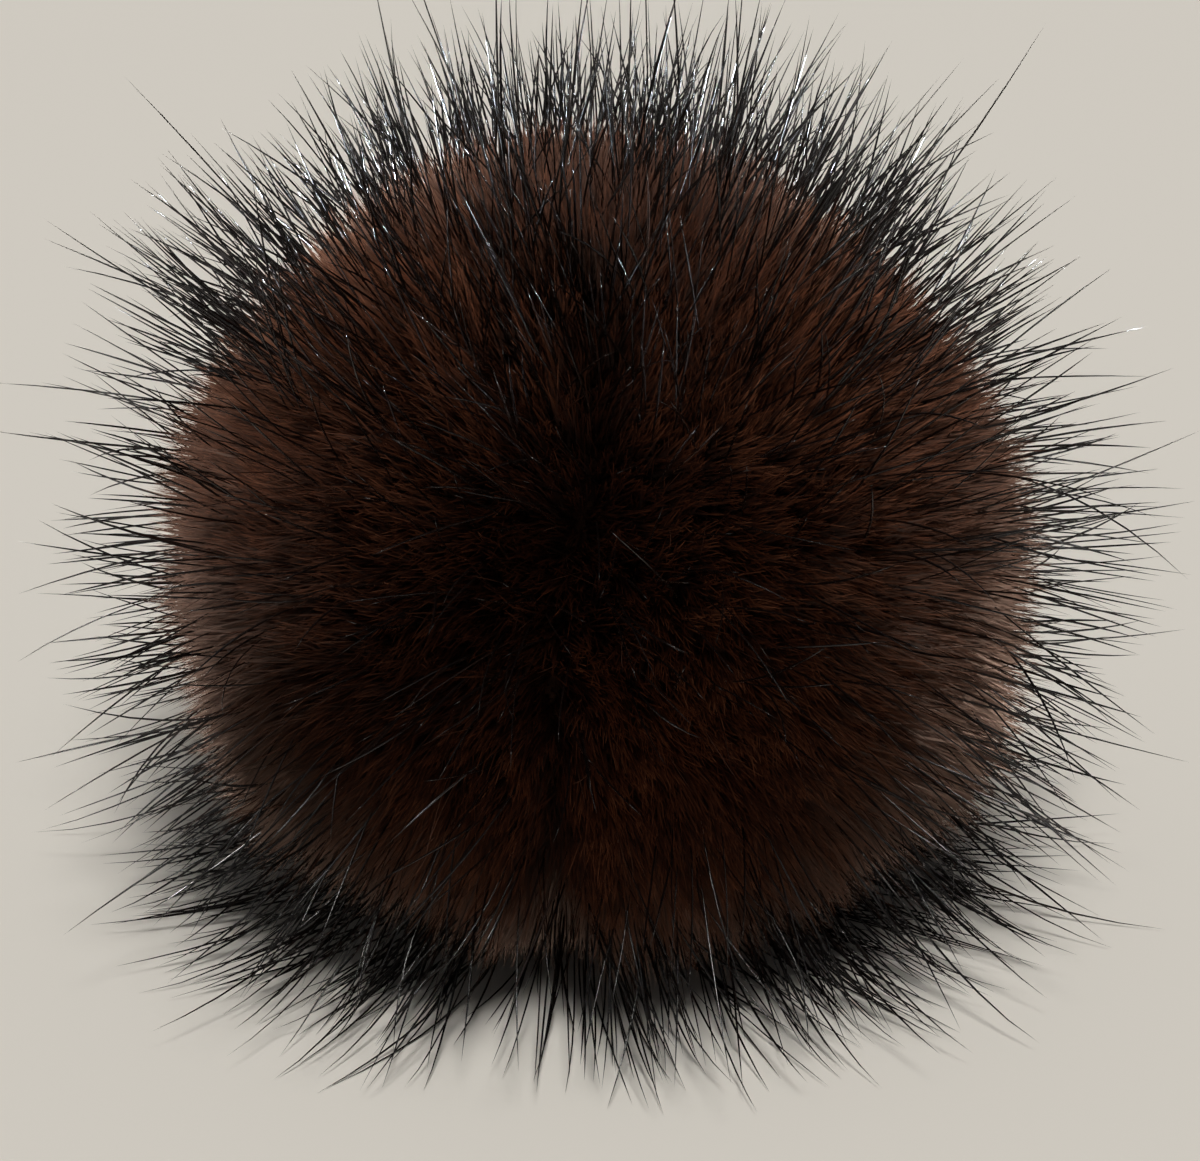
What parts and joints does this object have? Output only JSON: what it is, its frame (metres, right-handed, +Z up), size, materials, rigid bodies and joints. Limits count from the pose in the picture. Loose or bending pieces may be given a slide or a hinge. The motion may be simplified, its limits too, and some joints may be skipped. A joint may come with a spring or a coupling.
{
  "type": "fur pom pom",
  "caption": "Round fur pom pom: a dense dark brown ball of underfur with long, nearly black guard hairs standing out all round, resting on a small flat spot.",
  "frame": {"origin": "on the surface it stands on, under the middle of its box and in the flat spot", "axes": "+Z straight up out of the surface it stands on, -Y towards the front, where the fur parts, +X to the right seen from the front"},
  "size_m": [0.0824, 0.0816, 0.0681],
  "materials": {
    "fur": "dense matt underfur with long glossy guard hairs"
  },
  "bodies": {
    "root": {"pom_pom": "fur"}
  },
  "joints": []
}
